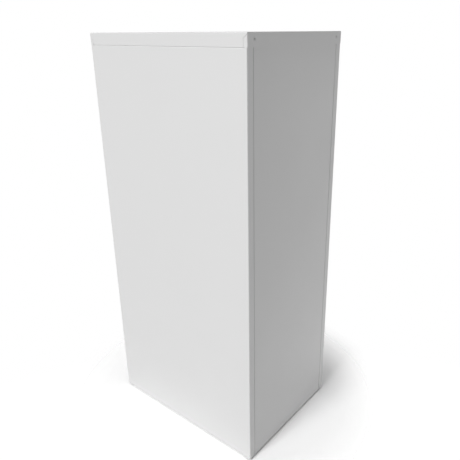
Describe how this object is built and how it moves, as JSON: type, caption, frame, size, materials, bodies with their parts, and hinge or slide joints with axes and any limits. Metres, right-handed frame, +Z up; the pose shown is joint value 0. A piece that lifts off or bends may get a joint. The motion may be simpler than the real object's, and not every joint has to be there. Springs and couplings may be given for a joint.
{
  "type": "display plinth",
  "caption": "Tall rectangular display plinth in folded white powder-coated steel, with a screwed-on cap and levelling feet.",
  "frame": {"origin": "on the floor, below the centre of the footprint", "axes": "+Z up, X along the wide faces, Y along the narrow faces; the front is the wide face at -Y"},
  "size_m": [0.472, 0.345, 1],
  "materials": {
    "white_powder_coat": "fine-grained satin powder coat",
    "painted_screw": "satin, painted to match the cap",
    "galvanised_sheet": "dull galvanised, faint spangle",
    "zinc_plated_hardware": "bright zinc plate",
    "rivet_aluminium": "satin",
    "foot_plastic": "moulded, matt"
  },
  "bodies": {
    "carcass": {"front_panel": "white_powder_coat", "back_panel": "white_powder_coat", "right_side_panel": "white_powder_coat", "left_side_panel": "white_powder_coat", "top_cap": "white_powder_coat", "top_rail_front": "galvanised_sheet", "top_rail_back": "galvanised_sheet", "top_rail_right": "galvanised_sheet", "top_rail_left": "galvanised_sheet", "cap_bearer_left": "galvanised_sheet", "cap_bearer_right": "galvanised_sheet", "cap_screw_front_left": "painted_screw", "cap_screw_front_right": "painted_screw", "cap_screw_back_left": "painted_screw", "cap_screw_back_right": "painted_screw", "cap_nut_front_left": "zinc_plated_hardware", "cap_nut_front_right": "zinc_plated_hardware", "cap_nut_back_left": "zinc_plated_hardware", "cap_nut_back_right": "zinc_plated_hardware", "seam_rivet_front_left_low": "rivet_aluminium", "seam_rivet_front_left_middle": "rivet_aluminium", "seam_rivet_front_left_high": "rivet_aluminium", "seam_rivet_front_right_low": "rivet_aluminium", "seam_rivet_front_right_middle": "rivet_aluminium", "seam_rivet_front_right_high": "rivet_aluminium", "seam_rivet_back_left_low": "rivet_aluminium", "seam_rivet_back_left_middle": "rivet_aluminium", "seam_rivet_back_left_high": "rivet_aluminium", "seam_rivet_back_right_low": "rivet_aluminium", "seam_rivet_back_right_middle": "rivet_aluminium", "seam_rivet_back_right_high": "rivet_aluminium", "foot_plate_front_left": "galvanised_sheet", "foot_plate_front_right": "galvanised_sheet", "foot_plate_back_left": "galvanised_sheet", "foot_plate_back_right": "galvanised_sheet", "foot_nut_front_left": "zinc_plated_hardware", "foot_nut_front_right": "zinc_plated_hardware", "foot_nut_back_left": "zinc_plated_hardware", "foot_nut_back_right": "zinc_plated_hardware"},
    "foot_front_left": {"foot_pad_front_left": "foot_plastic", "foot_stud_front_left": "zinc_plated_hardware"},
    "foot_front_right": {"foot_pad_front_right": "foot_plastic", "foot_stud_front_right": "zinc_plated_hardware"},
    "foot_back_left": {"foot_pad_back_left": "foot_plastic", "foot_stud_back_left": "zinc_plated_hardware"},
    "foot_back_right": {"foot_pad_back_right": "foot_plastic", "foot_stud_back_right": "zinc_plated_hardware"}
  },
  "joints": [
    {"name": "level_front_left", "type": "slide", "parent": "carcass", "child": "foot_front_left", "axis": [0, 0, -1], "range_m": [0, 0.02]},
    {"name": "level_front_right", "type": "slide", "parent": "carcass", "child": "foot_front_right", "axis": [0, 0, -1], "range_m": [0, 0.02]},
    {"name": "level_back_left", "type": "slide", "parent": "carcass", "child": "foot_back_left", "axis": [0, 0, -1], "range_m": [0, 0.02]},
    {"name": "level_back_right", "type": "slide", "parent": "carcass", "child": "foot_back_right", "axis": [0, 0, -1], "range_m": [0, 0.02]}
  ]
}
